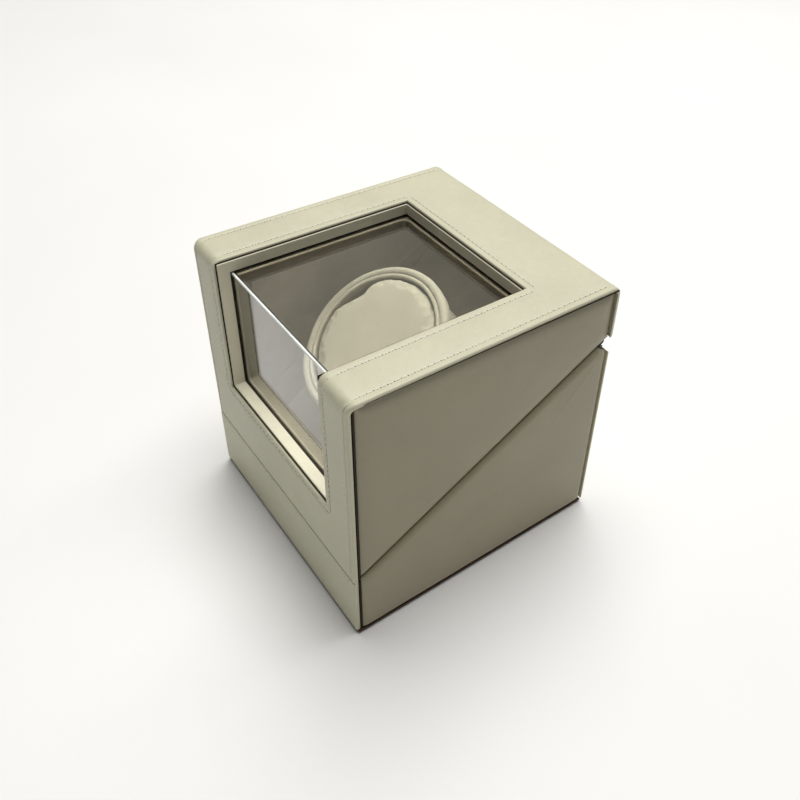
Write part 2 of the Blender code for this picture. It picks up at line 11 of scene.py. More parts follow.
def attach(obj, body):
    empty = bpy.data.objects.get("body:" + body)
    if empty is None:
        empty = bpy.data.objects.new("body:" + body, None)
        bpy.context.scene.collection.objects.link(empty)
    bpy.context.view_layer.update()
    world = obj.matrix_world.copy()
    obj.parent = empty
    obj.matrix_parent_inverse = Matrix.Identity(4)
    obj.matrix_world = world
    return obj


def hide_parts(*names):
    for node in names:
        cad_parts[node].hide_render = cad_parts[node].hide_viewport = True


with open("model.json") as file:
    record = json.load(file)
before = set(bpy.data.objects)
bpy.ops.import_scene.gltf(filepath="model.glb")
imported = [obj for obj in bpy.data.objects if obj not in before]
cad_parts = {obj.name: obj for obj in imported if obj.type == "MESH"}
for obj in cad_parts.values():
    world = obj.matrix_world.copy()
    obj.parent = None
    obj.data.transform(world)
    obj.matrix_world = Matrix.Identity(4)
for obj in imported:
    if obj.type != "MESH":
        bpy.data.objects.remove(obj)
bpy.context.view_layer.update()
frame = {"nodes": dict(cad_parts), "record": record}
nodes = frame["nodes"]
scene = bpy.context.scene
MM = 0.001

# ---------------------------------------------------------------- sizes, in millimetres

HALF_WIDTH = 87.5
HALF_DEPTH = 89.5
HEIGHT = 180.0
SKIN_EDGE = 85.2  # half width of the skins on the front
BAND_EDGE = 86.9  # half width of the lid's band on top and behind
SPLIT_FRONT = 46.4  # height of the split between base and lid, at the front
SPLIT_SLOPE = math.tan(math.radians(28.5))
SPLIT_GAP = 0.4  # from the split's middle to the base or the lid
NOTCH_START = 80.3  # the base's edge turns down behind here, for the hinges
NOTCH_SLOPE = -0.716
SHELL_BOTTOM = 2.7
CORNER = 6.0  # radius of the lid's top corners, front and rear
WINDOW_SIDE = 58.1  # half width of the opening in the lid's skin
WINDOW_REAR = 42.2
WINDOW_SILL = 87.2
DECK_TILT = math.radians(36.5)
DRUM = Matrix.Translation((0, 14.5, 84.6)) @ Matrix.Rotation(DECK_TILT, 4, "X")  # the drum's axis as Z
CUSHION_RADIUS = 40.6
SHARP_EDGE = math.radians(40)  # an edge sharper than this is rounded
FLAT = math.radians(0.5)
SAME_PLACE = 1e-6  # in metres


def split(y):
    return SPLIT_FRONT + (y + HALF_DEPTH) * SPLIT_SLOPE


def lid_edge(y):
    return split(y) + SPLIT_GAP


def base_edge(y):
    return split(min(y, NOTCH_START)) - SPLIT_GAP + max(0.0, y - NOTCH_START) * NOTCH_SLOPE


# ---------------------------------------------------------------- materials


class Shader:
    """A node material built on one Principled shader."""

    def __init__(self, name, rough=0.5, metal=0.0, **sockets):
        self.material = bpy.data.materials.new(name)
        self.material.use_nodes = True
        self.tree = self.material.node_tree
        self.shader = self.tree.nodes["Principled BSDF"]
        self.shader.inputs["Roughness"].default_value = rough
        self.shader.inputs["Metallic"].default_value = metal
        for socket, value in sockets.items():
            self.shader.inputs[socket.replace("_", " ")].default_value = value
        self.place = self.tree.nodes.new("ShaderNodeTexCoord").outputs["Object"]
        self.height = None

    def link(self, start, end):
        self.tree.links.new(start, end)

    def noise(self, size, detail=3.0, rough=0.5, stretch=None):
        """Noise whose features are about size millimetres across."""
        node = self.tree.nodes.new("ShaderNodeTexNoise")
        node.inputs["Scale"].default_value = 1 / (size * MM)
        node.inputs["Detail"].default_value = detail
        node.inputs["Roughness"].default_value = rough
        start = self.place
        if stretch:
            scale = self.tree.nodes.new("ShaderNodeMapping")
            scale.inputs["Scale"].default_value = stretch
            self.link(start, scale.inputs["Vector"])
            start = scale.outputs["Vector"]
        self.link(start, node.inputs["Vector"])
        return node.outputs["Fac"]

    def cells(self, size, place):
        """Distance to the nearest border between cells about size millimetres across."""
        node = self.tree.nodes.new("ShaderNodeTexVoronoi")
        node.feature = "DISTANCE_TO_EDGE"
        node.inputs["Scale"].default_value = 1 / (size * MM)
        self.link(place, node.inputs["Vector"])
        return node.outputs["Distance"]

    def warped(self, size, amount):
        """Object coordinates pushed about by noise, amount in millimetres."""
        node = self.tree.nodes.new("ShaderNodeTexNoise")
        node.inputs["Scale"].default_value = 1 / (size * MM)
        self.link(self.place, node.inputs["Vector"])
        mad = self.tree.nodes.new("ShaderNodeVectorMath")
        mad.operation = "MULTIPLY_ADD"
        self.link(node.outputs["Color"], mad.inputs[0])
        mad.inputs[1].default_value = (amount * MM,) * 3
        self.link(self.place, mad.inputs[2])
        return mad.outputs["Vector"]

    def ramp(self, value, *stops):
        """A colour for value, from (position, colour) stops."""
        node = self.tree.nodes.new("ShaderNodeValToRGB")
        band = node.color_ramp
        while len(band.elements) < len(stops):
            band.elements.new(0.5)
        for element, (position, colour) in zip(band.elements, stops):
            element.position = position
            element.color = (*colour, 1.0)
        self.link(value, node.inputs["Fac"])
        return node.outputs["Color"]

    def span(self, value, low, high, new_low, new_high):
        """Value mapped from low and high to new_low and new_high, and held there beyond them."""
        node = self.tree.nodes.new("ShaderNodeMapRange")
        limits = {"From Min": low, "From Max": high, "To Min": new_low, "To Max": new_high}
        for name, number in limits.items():
            node.inputs[name].default_value = number
        self.link(value, node.inputs["Value"])
        return node.outputs["Result"]

    def mix(self, share, first, second):
        """First and second mixed. Each argument is a socket or a plain value."""
        node = self.tree.nodes.new("ShaderNodeMix")
        node.data_type = "RGBA"
        factor, a, b = node.inputs[0], node.inputs[6], node.inputs[7]
        for socket, value in ((factor, share), (a, first), (b, second)):
            if isinstance(value, bpy.types.NodeSocket):
                self.link(value, socket)
            else:
                socket.default_value = value if isinstance(value, float) else (*value, 1.0)
        return node.outputs[2]

    def worn(self, low, high):
        """0 on flat ground, 1 along sharp edges."""
        node = self.tree.nodes.new("ShaderNodeNewGeometry")
        return self.span(node.outputs["Pointiness"], low, high, 0.0, 1.0)

    def colour(self, value):
        self.link(value, self.shader.inputs["Base Color"])

    def rough(self, value):
        self.link(value, self.shader.inputs["Roughness"])

    def bump(self, value, depth, strength=1.0):
        """Adds a layer of relief, depth in millimetres."""
        node = self.tree.nodes.new("ShaderNodeBump")
        node.inputs["Distance"].default_value = depth * MM
        node.inputs["Strength"].default_value = strength
        self.link(value, node.inputs["Height"])
        if self.height is not None:
            self.link(self.height, node.inputs["Normal"])
        self.height = node.outputs["Normal"]
        self.link(self.height, self.shader.inputs["Normal"])


def shade(colour, factor):
    return tuple(c * factor for c in colour)


def leather(name, colour, grain=0.9, gloss=0.42):
    """Finished leather: blotches, pebbles of grain millimetres with dark valleys, paler worn edges."""
    m = Shader(name, gloss, Specular_IOR_Level=0.45)
    patch = m.noise(38, 4)
    fine = m.noise(5, 5, 0.6)
    tone = m.ramp(patch, (0.3, shade(colour, 0.93)), (0.7, shade(colour, 1.05)))
    tone = m.mix(0.35, tone, m.ramp(fine, (0.3, shade(colour, 0.9)), (0.7, shade(colour, 1.06))))
    pebble = m.cells(grain, place=m.warped(1.4, 0.5))
    valley = m.span(pebble, 0.0, 0.12, 1.0, 0.0)
    tone = m.mix(m.span(valley, 0, 1, 0, 0.25), tone, shade(colour, 0.6))
    tone = m.mix(m.span(m.worn(0.515, 0.6), 0, 1, 0, 0.35), tone, shade(colour, 1.18))
    m.colour(tone)
    m.rough(m.span(fine, 0.25, 0.75, gloss - 0.06, gloss + 0.1))
    m.bump(m.noise(9, 3), 0.25, 0.35)
    m.bump(m.span(pebble, 0.0, 0.3, 0.0, 1.0), 0.06, 0.5)
    m.bump(m.noise(0.35, 2), 0.02, 0.4)
    return m.material


def napped(name, colour, sheen, contrast=0.18, nap=0.5):
    """Suede, felt or velvet: brushed streaks, a nap of fine fibres and a sheen."""
    m = Shader(name, 0.95, Sheen_Weight=sheen, Sheen_Roughness=0.45, Specular_IOR_Level=0.15)
    m.shader.inputs["Sheen Tint"].default_value = (*[min(1.0, c * 1.6 + 0.1) for c in colour], 1)
    brushed = m.noise(16, 4, 0.6, stretch=(1.0, 0.55, 0.8))
    fibre = m.noise(nap, 3, 0.7)
    tone = m.ramp(brushed, (0.32, shade(colour, 1 - contrast)), (0.68, shade(colour, 1 + contrast)))
    tone = m.mix(0.4, tone, m.ramp(fibre, (0.3, shade(colour, 0.72)), (0.7, shade(colour, 1.25))))
    m.colour(tone)
    m.bump(brushed, 0.15, 0.3)
    m.bump(fibre, 0.05, 0.5)
    return m.material


def plastic(name, colour, rough):
    m = Shader(name, rough)
    speck = m.noise(0.25, 3)
    m.colour(m.ramp(m.noise(12, 3), (0.3, shade(colour, 0.9)), (0.7, shade(colour, 1.1))))
    m.rough(m.span(m.noise(4, 4), 0.3, 0.7, rough - 0.06, rough + 0.08))
    m.bump(speck, 0.02, 0.5)
    return m.material


def metal(name, colour, rough):
    m = Shader(name, rough, 1.0)
    lines = m.noise(0.7, 4, 0.6, stretch=(1, 1, 14))
    m.colour(m.ramp(m.noise(8, 3), (0.3, shade(colour, 0.85)), (0.7, colour)))
    m.rough(m.span(lines, 0.3, 0.7, rough - 0.08, rough + 0.14))
    m.bump(lines, 0.01, 0.4)
    return m.material


def board(name, colour):
    """Faced fibreboard, with a short grain along one way."""
    m = Shader(name, 0.85)
    fibre = m.noise(1.1, 5, 0.7, stretch=(1, 0.4, 1))
    tone = m.ramp(m.noise(20, 3), (0.3, shade(colour, 0.9)), (0.7, shade(colour, 1.08)))
    m.colour(m.mix(0.5, tone, m.ramp(fibre, (0.3, shade(colour, 0.65)), (0.7, shade(colour, 1.25)))))
    m.bump(fibre, 0.05, 0.6)
    return m.material


def clear(name):
    m = Shader(name, 0.015, Transmission_Weight=1.0, IOR=1.49)
    m.shader.inputs["Base Color"].default_value = (0.97, 0.965, 0.95, 1)
    return m.material


def thread(name, colour):
    """Twisted thread, its plies as slanting bands."""
    m = Shader(name, 0.6, Sheen_Weight=0.3)
    ply = m.tree.nodes.new("ShaderNodeTexWave")
    ply.inputs["Scale"].default_value = 1 / (2.1 * MM)
    ply.inputs["Distortion"].default_value = 1.0
    ply.bands_direction = "DIAGONAL"
    m.link(m.place, ply.inputs["Vector"])
    m.colour(m.ramp(ply.outputs["Fac"], (0.2, shade(colour, 0.8)), (0.8, shade(colour, 1.05))))
    m.bump(ply.outputs["Fac"], 0.05, 0.5)
    return m.material


CREAM = (0.625, 0.6, 0.435)
LEATHER = leather("cream_leather", CREAM)
PANEL = leather("panel_leather", (0.37, 0.332, 0.222), 0.9, 0.45)
LINER = leather("liner_leather", (0.67, 0.635, 0.475), 0.7, 0.4)
SUEDE = napped("deck_suede", (0.5, 0.467, 0.362), 0.4)
DARK_SUEDE = napped("frame_suede", (0.1, 0.085, 0.058), 0.15)
VELVET = napped("cream_velvet", (0.34, 0.322, 0.235), 0.2, 0.08, 0.4)
BOUND_RIM = leather("rim_leather", (0.5, 0.475, 0.35), 0.7, 0.45)  # turned over the shells' rims
DARK_BOARD = board("dark_edge_board", (0.11, 0.06, 0.032))
CLEAR = clear("clear_acrylic")
# pale opaque plastic: a painted highlight along the pane's corner edge
PANE_EDGE_HIGHLIGHT = plastic("painted_pane_edge_highlight", (0.72, 0.73, 0.7), 0.2)
RUBBER = plastic("rubber", (0.02, 0.02, 0.02), 0.75)
BLACK = plastic("black_plastic", (0.02, 0.02, 0.021), 0.42)
WHITE = plastic("natural_plastic", (0.72, 0.7, 0.64), 0.4)
STEEL = metal("plated_steel", (0.62, 0.62, 0.61), 0.3)
BLACK_STEEL = metal("black_steel", (0.025, 0.025, 0.025), 0.4)
BRASS = metal("machined_brass", (0.75, 0.58, 0.28), 0.28)
CIRCUIT = plastic("circuit_green", (0.03, 0.16, 0.06), 0.35)
# near-black: painted shade for the gaps beside the side covers, round the window's liner and at the hinge
# notch
GAP_SHADE = napped("painted_gap_shade", (0.035, 0.028, 0.018), 0.05)
# dark: painted shade inside the needle holes
NEEDLE_HOLE_SHADE = napped("painted_needle_hole_shade", (0.17, 0.15, 0.1), 0.0)
LIP = napped("frame_lip_suede", (0.33, 0.29, 0.2), 0.2)
THREAD = thread("thread", (0.86, 0.84, 0.74))

BY_SLOT = {
    "leather": LEATHER,
    "liner_leather": LINER,
    "suede": SUEDE,
    "dark_suede": DARK_SUEDE,
    "velvet": VELVET,
    "fibreboard": BOUND_RIM,
    "dark_board": DARK_BOARD,
    "acrylic": CLEAR,
    "rubber": RUBBER,
    "black_plastic": BLACK,
    "white_plastic": WHITE,
    "steel": STEEL,
    "black_steel": BLACK_STEEL,
    "brass": BRASS,
    "circuit": CIRCUIT,
}
for row in frame["record"]["subparts"]:
    node = nodes[row["node"]]
    for place in node.material_slots:
        place.material = BY_SLOT[row["material_slot"]]

# ---------------------------------------------------------------- pieces


def bridged(bm, loops):
    """Joins closed loops of points, each to the next, by faces."""
    for one, two in zip(loops, loops[1:]):
        n = len(one)
        for k in range(n):
            bm.faces.new((one[k], one[(k + 1) % n], two[(k + 1) % n], two[k]))


def capped(bm, loops):
    """Joins closed loops of points into a solid, closed at its first and last loop."""
    bridged(bm, loops)
    bm.faces.new(loops[0])
    bm.faces.new(loops[-1])


def rounded(bm, width, segments):
    """Rounds every sharp edge of a bmesh in metres, to width millimetres."""
    bmesh.ops.remove_doubles(bm, verts=bm.verts, dist=SAME_PLACE)
    bmesh.ops.dissolve_limit(bm, angle_limit=FLAT, verts=bm.verts, edges=bm.edges)
    edges = [e for e in bm.edges if len(e.link_faces) == 2 and e.calc_face_angle() > SHARP_EDGE]
    bmesh.ops.bevel(
        bm,
        geom=edges,
        offset=width * MM,
        segments=segments,
        profile=0.5,
        affect="EDGES",
        clamp_overlap=True,
    )


def piece(name, bm, look, body, slot, replaced, sharp):
    """Makes a bmesh in millimetres into a shown piece that rides on a body.

    Edges sharper than sharp degrees are shaded sharp, and none where it is 0.
    """
    bmesh.ops.recalc_face_normals(bm, faces=bm.faces)
    bmesh.ops.scale(bm, vec=(MM, MM, MM), verts=bm.verts)
    mesh = bpy.data.meshes.new(name)
    bm.to_mesh(mesh)
    bm.free()
    mesh.shade_smooth()
    if sharp:
        mesh.set_sharp_from_angle(angle=math.radians(sharp))
    mesh.materials.append(look)
    obj = bpy.data.objects.new(name, mesh)
    scene.collection.objects.link(obj)
    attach(obj, body)
    if replaced:
        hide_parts(*replaced)
    return obj


def apply(obj):
    """Puts what the modifiers make into the object's own mesh."""
    view = bpy.context.evaluated_depsgraph_get()
    made = bpy.data.meshes.new_from_object(obj.evaluated_get(view))
    obj.modifiers.clear()
    obj.data = made
    return obj


def flat_normals(obj):
    """Keeps large faces flat in shading beside their rounded edges."""
    weigh = obj.modifiers.new("normals", "WEIGHTED_NORMAL")
    weigh.keep_sharp = True
    weigh.weight = 90
    return apply(obj)


def softened(node, look, body, slot, width, segments=3, narrow=1.0):
    """A copy of a CAD node, edges rounded to width millimetres, its width scaled by narrow."""
    bm = bmesh.new()
    bm.from_mesh(nodes[node].data)
    rounded(bm, width, segments)
    bmesh.ops.scale(bm, vec=(narrow / MM, 1 / MM, 1 / MM), verts=bm.verts)
    return flat_normals(piece(node + "_finish", bm, look, body, slot, (node,), 44))


def smooth_step(t):
    """0 below 0, 1 above 1, and a smooth rise between."""
    t = max(0.0, min(1.0, t))
    return t * t * (3 - 2 * t)


def spread(marks, longest):
    """Every mark, and points between them no further apart than longest."""
    marks = sorted(set(round(m, 4) for m in marks))
    out = []
    for low, high in zip(marks, marks[1:]):
        count = max(1, math.ceil((high - low) / longest))
        out += [low + (high - low) * k / count for k in range(count)]
    return out + [marks[-1]]


class Path:
    """A line through (y, z) points with rounded corners, with a way out from the box at each place."""

    def __init__(self, points, radii):
        self.parts = []  # (length before it, own length, kind, data)
        self.length = 0.0
        points = [Vector(p) for p in points]
        here = points[0]
        for i in range(1, len(points)):
            corner, radius = points[i], radii[i]
            ahead = (corner - here).normalized()
            cut = 0
            if radius:
                after = (points[i + 1] - corner).normalized()
                turn = ahead.angle_signed(after)
                cut = radius * math.tan(abs(turn) / 2)
            end = corner - ahead * cut
            self.add("line", (end - here).length, (here, ahead))
            here = corner
            if radius:
                sign = -1 if turn > 0 else 1
                side = Vector((-ahead.y, ahead.x)) * sign
                self.add("arc", abs(turn) * radius, (end + side * radius, -side, radius, sign))
                here = corner + after * cut

    def add(self, kind, length, data):
        self.parts.append((self.length, length, kind, data))
        self.length += length

    def at(self, s):
        """The point at length s, and the unit way out."""
        for start, length, kind, data in self.parts:
            if s <= start + length + 1e-6:
                break
        t = s - start
        if kind == "line":
            origin, ahead = data
            return origin + ahead * t, Vector((-ahead.y, ahead.x))
        centre, spoke, radius, sign = data
        out = Matrix.Rotation(t / radius * sign, 2) @ spoke
        return centre + out * radius, out


def fillet(distance, radius):
    """How far a rounded edge falls away at a distance in from it."""
    if distance >= radius:
        return 0.0
    d = max(0.0, distance)
    return radius - math.sqrt(max(0.0, radius * radius - (radius - d) ** 2))


GROOVE_DEPTH = 0.32
GROOVE_WIDTH = 0.75


def groove(distance):
    """How far the skin sinks under a row of stitches, at a distance from it."""
    return GROOVE_DEPTH * math.exp(-((distance / GROOVE_WIDTH) ** 2))


def thickened(bm, offset):
    """Closes a sheet into a thin shell by a copy of it, moved in by offset(vertex) millimetres."""
    outer = list(bm.verts)
    moves = {v: offset(v) for v in outer}
    copy = bmesh.ops.duplicate(bm, geom=list(bm.verts) + list(bm.edges) + list(bm.faces))
    twins = {v: copy["vert_map"][v] for v in outer}
    for v in outer:
        twins[v].co += moves[v]
    for e in [e for e in bm.edges if e.is_boundary]:
        a, b = e.verts
        if a in twins:
            bm.faces.new((a, b, twins[b], twins[a]))


# ---------------------------------------------------------------- lid skin

STITCH_IN = 4.4  # top stitching from the side edges
FRONT_STITCH_IN = STITCH_IN + 1.9  # further in on the front, beside the piping
PIPING = 2.9  # width of the strip along the front's side edges
PIPING_DEPTH = 0.9
WINDOW_STITCH = 4.6  # stitching from the window's edge
SKIN_THICKNESS = 1.1
DEEPEST = 1.5  # the skin's surface never sinks more than this
CROWDED = 66.0  # the columns of points crowd in beyond this on the narrower front
BY_WINDOW = (0, 0.2, 0.5, 1.0, 1.5, 3.2, 3.9, 4.3, 4.6, 4.9, 5.3, 6.0)  # points out from its edge
BY_SIDE = (0, 0.08, 0.25, 0.5, 0.9, 1.4, 2.0, 2.5, 2.75, 2.9)  # points in from the side edge
BY_SIDE += (3.05, 3.3, 3.7, 4.1, 4.4, 4.7, 5.1, 5.8, 10, 16)
ARC_STEPS = 8


def lid_path():
    """The lid's outline from its front edge over the top to its rear edge."""
    front, rear = -HALF_DEPTH, HALF_DEPTH
    corners = [(front, lid_edge(front)), (front, HEIGHT), (rear, HEIGHT), (rear, lid_edge(rear))]
    return Path(corners, [0, CORNER, CORNER, 0])


def window_ends(path):
    """Where along the path the window starts and ends."""
    top_start = path.parts[2][0]
    return WINDOW_SILL - lid_edge(-HALF_DEPTH), top_start + WINDOW_REAR + HALF_DEPTH - CORNER


def front_share(path, s):
    """1 on the lid's front and 0 on its top, with a smooth change round the corner."""
    front_end, arc = path.parts[0][1], path.parts[1][1]
    return 1 - smooth_step((s - (front_end - 2)) / (arc + 2))


def around_window(x, y, z, on_top):
    """Distance from the window's edge: negative inside. y counts on the top and z on the front."""
    side = abs(x) - WINDOW_SIDE
    end = (y - WINDOW_REAR) if on_top else (WINDOW_SILL - z)
    if side > 0 and end > 0:
        return math.hypot(side, end)
    return max(side, end)


def lid_rows(path):
    """Lengths along the path at which the skin has a row of points, close where its shape is fine."""
    sill_s, rear_s = window_ends(path)
    ends = (0, 0.3, 0.7, 1.2)
    marks = [*ends, *(path.length - d for d in ends), 3.0, 4.4, 5.0, 5.7]
    marks += [sill_s - d for d in BY_WINDOW] + [rear_s + d for d in BY_WINDOW]
    arc, top_start, top_length = path.parts[1][1], path.parts[2][0], path.parts[2][1]
    marks.append(top_start)
    for start in (top_start - arc, top_start + top_length):
        marks += [start + arc * k / ARC_STEPS for k in range(ARC_STEPS)]
    return spread(marks, 5.0)


def lid_columns():
    """The x values at which the skin has a column of points."""
    half = [0, 10, 20, 30, 40, 50, 56]
    half += [WINDOW_SIDE + d for d in BY_WINDOW] + [BAND_EDGE - d for d in BY_SIDE]
    half = sorted(set(half))
    return [-c for c in reversed(half) if c] + half


def skin_point(path, s, x, corner_s):
    """A point of the lid's skin, with its rounded edges, stitch lines, piping and soft hollows."""
    point, out = path.at(s)
    on_front = front_share(path, s)
    narrow = (BAND_EDGE - SKIN_EDGE) * on_front
    across = abs(x)
    wide = across - narrow * max(0.0, (across - CROWDED) / (BAND_EDGE - CROWDED))
    edge = BAND_EDGE - narrow - wide
    drop = fillet(edge, 1.4) + fillet(min(s, path.length - s), 1.0)
    gap = around_window(wide, point.x, point.y, s > corner_s)
    if gap >= 0:
        drop += fillet(gap, 1.1) + groove(gap - WINDOW_STITCH)
    drop += groove(edge - (STITCH_IN + (FRONT_STITCH_IN - STITCH_IN) * on_front)) * 0.9
    drop += PIPING_DEPTH * on_front * math.exp(-(((edge - PIPING) / 0.35) ** 2))
    soft = noise.noise(Vector((x * 0.03, point.x * 0.03, point.y * 0.03)))
    drop += 0.12 * (soft + 0.4) if edge > 2 else 0.0
    where = point - out * min(drop, DEEPEST)
    return math.copysign(wide, x), where.x, where.y


def lid_skin(path):
    """The leather over the lid's front, top and rear, with the window's opening."""
    rows, cols = lid_rows(path), lid_columns()
    sill_s, rear_s = window_ends(path)
    corner_s = path.parts[1][0] + path.parts[1][1] * 0.5
    bm = bmesh.new()
    grid = [[bm.verts.new(skin_point(path, s, x, corner_s)) for x in cols] for s in rows]
    for i in range(len(rows) - 1):
        for j in range(len(cols) - 1):
            s = (rows[i] + rows[i + 1]) / 2
            x = (cols[j] + cols[j + 1]) / 2
            if abs(x) < WINDOW_SIDE and sill_s < s < rear_s:
                continue
            bm.faces.new((grid[i][j], grid[i][j + 1], grid[i + 1][j + 1], grid[i + 1][j]))
    bmesh.ops.delete(bm, geom=[v for v in bm.verts if not v.link_faces], context="VERTS")
    inward = {}
    for s, line in zip(rows, grid):
        out = path.at(s)[1]
        for v in line:
            if v.is_valid:
                inward[v] = Vector((0, -out.x, -out.y)) * SKIN_THICKNESS
    thickened(bm, lambda v: inward[v])
    piece("lid_leather_band", bm, LEATHER, "lid", "leather", ("lid_skin",), 50)


# ---------------------------------------------------------------- stitching


STITCH_PITCH = 3.9
THREAD_SIDES = 6
HOLE_SIDES = 8
# Rings of one stitch: place along it by its length, thickness by its radius, height over the leather
STITCH_RINGS = [(-0.5, 0.25, -0.32), (-0.36, 0.8, 0.02), (0.0, 1.0, 0.18)]
STITCH_RINGS += [(-share, size, lift) for share, size, lift in STITCH_RINGS[1::-1]]


def sewn(run, first):
    """Places a pitch apart along a run of (point, way out), the first one at first of a pitch in.

    Gives each place's point, way out, way ahead and way across.
    """
    legs = [(b[0] - a[0]).length for a, b in zip(run, run[1:])]
    count = max(1, round(sum(legs) / STITCH_PITCH))
    step = sum(legs) / count
    walked, index = 0.0, 0
    for mark in [(k + first) * step for k in range(count) if k + first < count]:
        while index < len(legs) - 1 and walked + legs[index] < mark:
            walked += legs[index]
            index += 1
        (a, out_a), (b, out_b) = run[index], run[index + 1]
        t = (mark - walked) / legs[index]
        out = out_a.lerp(out_b, t).normalized()
        ahead = (b - a).normalized()
        yield a.lerp(b, t), out, ahead, out.cross(ahead).normalized()


def stitches(name, runs, body, length=2.3, radius=0.34):
    """Rows of sewn thread. Each run is a list of (point, way out) in millimetres."""
    bm = bmesh.new()
    for run in runs:
        for centre, out, ahead, side in sewn(run, 0.5):
            slant = (ahead + side * 0.1).normalized()
            loops = []
            for share, size, lift in STITCH_RINGS:
                middle = centre + slant * share * length + out * lift
                loop = []
                for k in range(THREAD_SIDES):
                    angle = math.tau * k / THREAD_SIDES
                    reach = radius * size
                    point = middle + side * math.cos(angle) * reach + out * math.sin(angle) * reach * 0.8
                    loop.append(bm.verts.new(point))
                loops.append(loop)
            capped(bm, loops)
    piece(name, bm, THREAD, body, "leather", (), 0)


def needle_holes(name, runs, body, radius=0.38):
    """The needle holes between stitches, as low studs whose dark colour is painted shade in the holes."""
    bm = bmesh.new()
    for run in runs:
        for centre, out, ahead, side in sewn(run, 1):
            peak, foot = bm.verts.new(centre + out * 0.06), bm.verts.new(centre - out * 0.3)
            turns = [math.tau * j / HOLE_SIDES for j in range(HOLE_SIDES)]
            rim = [bm.verts.new(centre + (ahead * math.cos(a) + side * math.sin(a)) * radius) for a in turns]
            for one, two in zip(rim, rim[1:] + rim[:1]):
                bm.faces.new((one, two, peak))
                bm.faces.new((two, one, foot))
    piece(name, bm, NEEDLE_HOLE_SHADE, body, "leather", (), 0)


def lid_stitching(path):
    """Rows along both side edges and round the window."""

    def point(x, s, sink=0.3):
        p, out = path.at(s)
        return Vector((x, p.x - out.x * sink, p.y - out.y * sink)), Vector((0, out.x, out.y))

    def along(first, last, count, x_at):
        places = [first + (last - first) * k / count for k in range(count + 1)]
        return [point(x_at(s), s) for s in places]

    def edge_x(s):
        on_front = front_share(path, s)
        return (BAND_EDGE - STITCH_IN) * (1 - on_front) + (SKIN_EDGE - FRONT_STITCH_IN) * on_front

    sill_s, rear_s = window_ends(path)
    sill_s, rear_s = sill_s - WINDOW_STITCH, rear_s + WINDOW_STITCH
    reach = WINDOW_SIDE + WINDOW_STITCH
    runs = []
    for side in (-1, 1):
        runs.append(along(2.5, path.length - 2.5, 60, lambda s: side * edge_x(s)))
        runs.append(along(sill_s, rear_s, 40, lambda s: side * reach))
    for s in (rear_s, sill_s):
        runs.append([point(-reach, s), point(reach, s)])
    stitches("lid_stitching", runs, "lid")
    needle_holes("lid_needle_holes", runs, "lid")


def base_stitching():
    """One heavier row across the base's front, just under the split."""
    level = base_edge(-HALF_DEPTH) - 3.0
    reach = SKIN_EDGE - PIPING - 1.5
    run = [(Vector((x, -HALF_DEPTH + 0.05, level)), Vector((0, -1, 0))) for x in (-reach, reach)]
    stitches("base_stitching", [run], "base", radius=0.42)
    needle_holes("base_needle_holes", [run], "base", radius=0.48)


# ---------------------------------------------------------------- padded sides


COVER_BACK = 83.8  # the side covers' back and front, from the middle of the box
COVER_FRONT = 87.6
COVER_CROWN = 0.6
COVER_LIP = 0.4  # the straight edge under the rounding
COVER_CORNER = 2.0
CORNER_STEPS = 6
SIDE_STEPS = 16
CROWN_STEPS = 15


def ring_of(outline, inset):
    """The outline moved in by inset, its corners rounded. Every ring has the same count of points."""
    count = len(outline)
    moved = []
    for i in range(count):
        here = Vector(outline[i])
        back = (here - Vector(outline[i - 1])).normalized()
        ahead = (Vector(outline[(i + 1) % count]) - here).normalized()
        inward, inward_ahead = Vector((-back.y, back.x)), Vector((-ahead.y, ahead.x))
        middle = (inward + inward_ahead).normalized()
        moved.append(here + middle * inset / middle.dot(inward))
    ring = []
    for i in range(count):
        here, after = moved[i], moved[(i + 1) % count]
        back = (moved[i - 1] - here).normalized()
        ahead = (after - here).normalized()
        half = back.angle(ahead) / 2
        cut = COVER_CORNER / math.tan(half)
        centre = here + (back + ahead).normalized() * COVER_CORNER / math.sin(half)
        start = here + back * cut - centre
        end = here + ahead * cut - centre
        turn = start.angle_signed(end)
        for k in range(CORNER_STEPS + 1):
            ring.append(centre + Matrix.Rotation(-turn * k / CORNER_STEPS, 2) @ start)
        near, far = here + ahead * cut, after + (here - after).normalized() * cut
        ring += [near.lerp(far, k / SIDE_STEPS) for k in range(1, SIDE_STEPS)]
    return ring


def padded_side(name, outline, side, body, node, round_edge):
    """A leather-covered board with foam under the leather: rounded edges and a slow crown."""
    area = sum(a[0] * b[1] - b[0] * a[1] for a, b in zip(outline, outline[1:] + outline[:1]))
    if area < 0:
        outline = list(reversed(outline))
    height = COVER_FRONT - COVER_BACK
    rise = height - COVER_CROWN - COVER_LIP
    loops = [[(p, COVER_BACK) for p in ring_of(outline, 0.0)]]
    for k in range(13):
        a = math.pi / 2 * k / 12
        lift = COVER_LIP + rise * math.sin(a) ** 1.5
        loops.append([(p, COVER_BACK + lift) for p in ring_of(outline, round_edge * (1 - math.cos(a)))])
    centre = sum((Vector(p) for p in outline), Vector((0, 0))) / len(outline)
    last = [p for p, _ in loops[-1]]
    for k in range(1, CROWN_STEPS):
        t = k / CROWN_STEPS
        swell = COVER_CROWN * (1 - (1 - t) ** 3)
        loops.append([(centre + (p - centre) * (1 - t), COVER_FRONT - COVER_CROWN + swell) for p in last])
    bm = bmesh.new()
    made = []
    for loop in loops:
        line = []
        for p, x in loop:
            soft = noise.noise(Vector((p.x * 0.025, p.y * 0.025, side * 5.0)))
            x += 0.15 * soft * min(1.0, max(0.0, (x - COVER_BACK) / height))
            line.append(bm.verts.new((side * min(x, COVER_FRONT), p.x, p.y)))
        made.append(line)
    capped(bm, made)
    obj = piece(name, bm, PANEL, body, "leather", (node,), 0)


